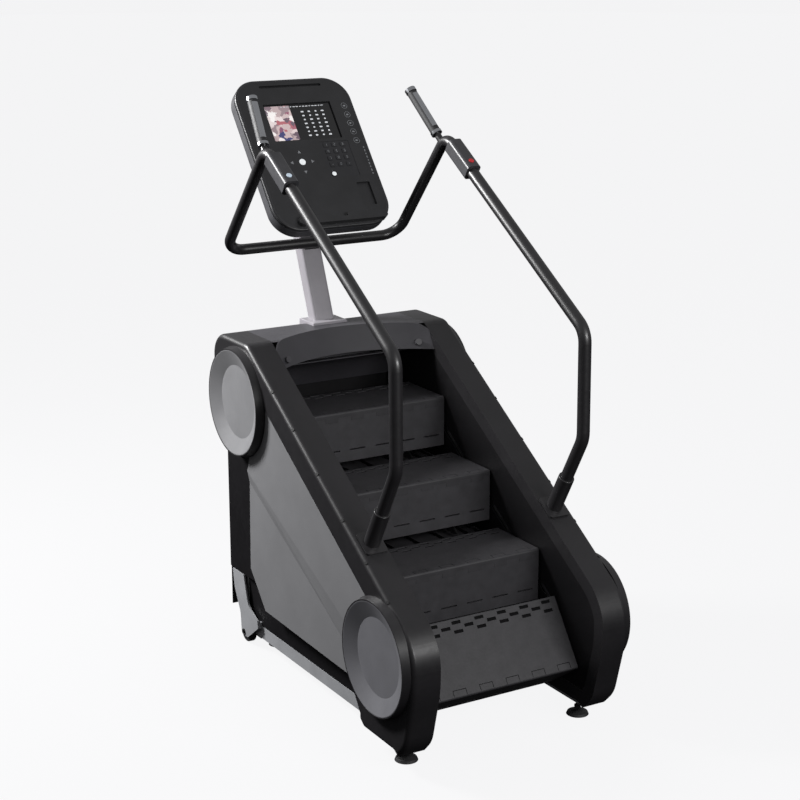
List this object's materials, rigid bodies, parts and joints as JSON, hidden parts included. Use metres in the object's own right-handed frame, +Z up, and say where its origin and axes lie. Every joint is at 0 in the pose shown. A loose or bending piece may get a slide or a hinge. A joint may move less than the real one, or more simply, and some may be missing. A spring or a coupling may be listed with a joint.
{
  "type": "stair climber",
  "caption": "Gym stair climber with moving steps between two side covers, a console on a leaning mast, handrails with grips and a looped handlebar.",
  "frame": {"origin": "bottom centre of the machine's box, on the floor", "axes": "+Z up, +X to the user's right, +Y from the user towards the console"},
  "size_m": [0.856, 1.5883, 1.9878],
  "materials": {
    "shell_black": "satin",
    "inner_black": "satin",
    "panel_grey": "matte",
    "disc_grey": "satin",
    "frame_grey": "satin",
    "rail_black": "satin",
    "pod_plastic": "matte",
    "key_plastic": "satin",
    "screen": "gloss",
    "grip_rubber": "matte",
    "chrome_trim": "polished",
    "step_cast": "matte",
    "steel_raw": "brushed",
    "bearing_iron": "matte",
    "belt_rubber": "matte",
    "wheel_rubber": "matte"
  },
  "bodies": {
    "machine": {"alternator": "bearing_iron", "console_face": "pod_plastic", "console_housing": "pod_plastic", "control_box": "pod_plastic", "display_glass": "screen", "drive_belt": "belt_rubber", "fasteners": "steel_raw", "handlebar_loop": "rail_black", "keypad": "key_plastic", "left_grip": "grip_rubber", "left_handrail": "rail_black", "left_inner_wall": "inner_black", "left_shell": "shell_black", "left_side_panel": "panel_grey", "levelling_feet": "steel_raw", "lower_disc_covers": "disc_grey", "main_frame": "frame_grey", "mast": "rail_black", "pulse_contacts": "chrome_trim", "rail_sockets": "rail_black", "rear_cover": "shell_black", "remote_pods": "pod_plastic", "right_grip": "grip_rubber", "right_handrail": "rail_black", "right_inner_wall": "inner_black", "right_shell": "shell_black", "right_side_panel": "panel_grey", "shaft_bearings": "bearing_iron", "step_chains": "steel_raw", "top_hood": "shell_black", "upper_disc_covers": "disc_grey"},
    "step_1": {"step_1_tread": "step_cast", "step_1_riser": "step_cast", "step_1_axle": "steel_raw"},
    "step_2": {"step_2_tread": "step_cast", "step_2_riser": "step_cast", "step_2_axle": "steel_raw"},
    "step_3": {"step_3_tread": "step_cast", "step_3_riser": "step_cast", "step_3_axle": "steel_raw"},
    "step_4": {"step_4_tread": "step_cast", "step_4_riser": "step_cast", "step_4_axle": "steel_raw"},
    "step_5": {"step_5_tread": "step_cast", "step_5_riser": "step_cast", "step_5_axle": "steel_raw"},
    "step_6": {"step_6_tread": "step_cast", "step_6_riser": "step_cast", "step_6_axle": "steel_raw"},
    "step_7": {"step_7_tread": "step_cast", "step_7_riser": "step_cast", "step_7_axle": "steel_raw"},
    "drive_shaft": {"upper_shaft": "steel_raw"},
    "idler_shaft": {"lower_shaft": "steel_raw"},
    "alternator_rotor": {"alternator_pulley": "steel_raw"},
    "left_transport_wheel": {"left_wheel": "wheel_rubber"},
    "right_transport_wheel": {"right_wheel": "wheel_rubber"},
    "start_key": {"start_button": "key_plastic"},
    "left_remote_key": {"left_remote_button": "key_plastic"},
    "right_remote_key": {"right_remote_button": "key_plastic"}
  },
  "joints": [
    {"name": "drive_shaft_turn", "type": "hinge", "parent": "machine", "child": "drive_shaft", "pos_m": [0, 0.34358, 0.81107], "axis": [1, 0, 0], "range_deg": [0, 70]},
    {"name": "idler_shaft_turn", "type": "hinge", "parent": "machine", "child": "idler_shaft", "pos_m": [0, -0.48815, 0.273], "axis": [1, 0, 0], "range_deg": [0, 70]},
    {"name": "alternator_turn", "type": "hinge", "parent": "machine", "child": "alternator_rotor", "pos_m": [0, 0.22785, 0.318], "axis": [1, 0, 0], "range_deg": [0, 350]},
    {"name": "step_1_down_run", "type": "slide", "parent": "machine", "child": "step_1", "axis": [0, -0.8396, -0.5432], "range_m": [0, 0.1]},
    {"name": "step_2_down_run", "type": "slide", "parent": "machine", "child": "step_2", "axis": [0, -0.8396, -0.5432], "range_m": [0, 0.1]},
    {"name": "step_3_down_run", "type": "slide", "parent": "machine", "child": "step_3", "axis": [0, -0.8396, -0.5432], "range_m": [0, 0.1]},
    {"name": "step_4_round_the_turn", "type": "hinge", "parent": "machine", "child": "step_4", "pos_m": [0, -0.48815, 0.273], "axis": [1, 0, 0], "range_deg": [0, 70]},
    {"name": "step_5_return_run", "type": "slide", "parent": "machine", "child": "step_5", "axis": [0, 0.8396, 0.5432], "range_m": [0, 0.1]},
    {"name": "step_6_return_run", "type": "slide", "parent": "machine", "child": "step_6", "axis": [0, 0.8396, 0.5432], "range_m": [0, 0.1]},
    {"name": "step_7_return_run", "type": "slide", "parent": "machine", "child": "step_7", "axis": [0, 0.8396, 0.5432], "range_m": [0, 0.1]},
    {"name": "left_wheel_turn", "type": "hinge", "parent": "machine", "child": "left_transport_wheel", "pos_m": [-0.332, 0.47785, 0.043], "axis": [1, 0, 0], "continuous": true},
    {"name": "right_wheel_turn", "type": "hinge", "parent": "machine", "child": "right_transport_wheel", "pos_m": [0.332, 0.47785, 0.043], "axis": [1, 0, 0], "continuous": true},
    {"name": "start_button_press", "type": "slide", "parent": "machine", "child": "start_key", "axis": [0, 0.7837, -0.6211], "range_m": [0, 0.002], "stiffness_N_per_m": 600, "springref_m": -0.0008},
    {"name": "left_remote_press", "type": "slide", "parent": "machine", "child": "left_remote_key", "axis": [0, 0.5391, -0.8422], "range_m": [0, 0.0015], "stiffness_N_per_m": 600, "springref_m": -0.0006},
    {"name": "right_remote_press", "type": "slide", "parent": "machine", "child": "right_remote_key", "axis": [0, 0.5391, -0.8422], "range_m": [0, 0.0015], "stiffness_N_per_m": 600, "springref_m": -0.0006}
  ],
  "couplings": [
    {"joint": "idler_shaft_turn", "follows": "drive_shaft_turn", "ratio": 1},
    {"joint": "alternator_turn", "follows": "drive_shaft_turn", "ratio": 5},
    {"joint": "step_4_round_the_turn", "follows": "drive_shaft_turn", "ratio": 1},
    {"joint": "step_1_down_run", "follows": "drive_shaft_turn", "m_per_rad": 0.081184},
    {"joint": "step_2_down_run", "follows": "drive_shaft_turn", "m_per_rad": 0.081184},
    {"joint": "step_3_down_run", "follows": "drive_shaft_turn", "m_per_rad": 0.081184},
    {"joint": "step_5_return_run", "follows": "drive_shaft_turn", "m_per_rad": 0.081184},
    {"joint": "step_6_return_run", "follows": "drive_shaft_turn", "m_per_rad": 0.081184},
    {"joint": "step_7_return_run", "follows": "drive_shaft_turn", "m_per_rad": 0.081184}
  ]
}
